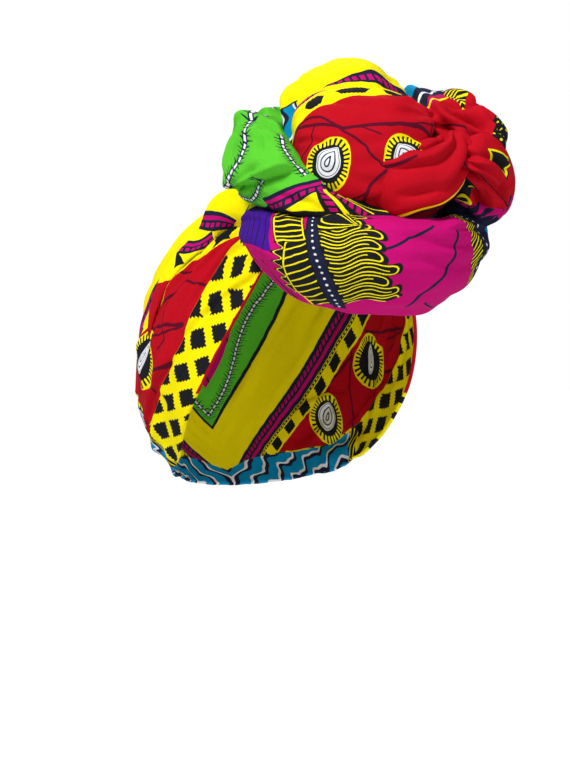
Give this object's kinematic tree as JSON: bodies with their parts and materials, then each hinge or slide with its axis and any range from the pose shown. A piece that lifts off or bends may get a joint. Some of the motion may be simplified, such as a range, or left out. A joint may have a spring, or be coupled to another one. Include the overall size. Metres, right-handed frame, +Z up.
{
  "type": "tied head wrap with a bun",
  "caption": "Wax-print head wrap tied into a large bun of wound cloth over the forehead, its hollow open below for the head.",
  "frame": {"origin": "top of the wearer's crown, where the wrap sits on the head", "axes": "+Z up, the wearer looks along -Y, the wearer's left is +X"},
  "size_m": [0.1675, 0.2572, 0.2402],
  "materials": {
    "wrap_cloth": "printed plain-weave cotton, matt",
    "pleat_cloth": "printed plain-weave cotton, matt",
    "lower_roll_cloth": "printed plain-weave cotton, matt",
    "side_roll_cloth": "printed plain-weave cotton, matt",
    "twist_cloth": "printed plain-weave cotton, matt",
    "puff_cloth": "printed plain-weave cotton, matt",
    "back_fold_cloth": "printed plain-weave cotton, matt"
  },
  "bodies": {
    "root": {"scalp_wrap": "wrap_cloth", "upper_pleat": "pleat_cloth", "lower_roll": "lower_roll_cloth", "side_roll": "side_roll_cloth", "upper_twist": "twist_cloth", "lower_twist": "twist_cloth", "crescent_fold": "puff_cloth", "crown_puff": "puff_cloth", "back_fold": "back_fold_cloth"}
  },
  "joints": []
}
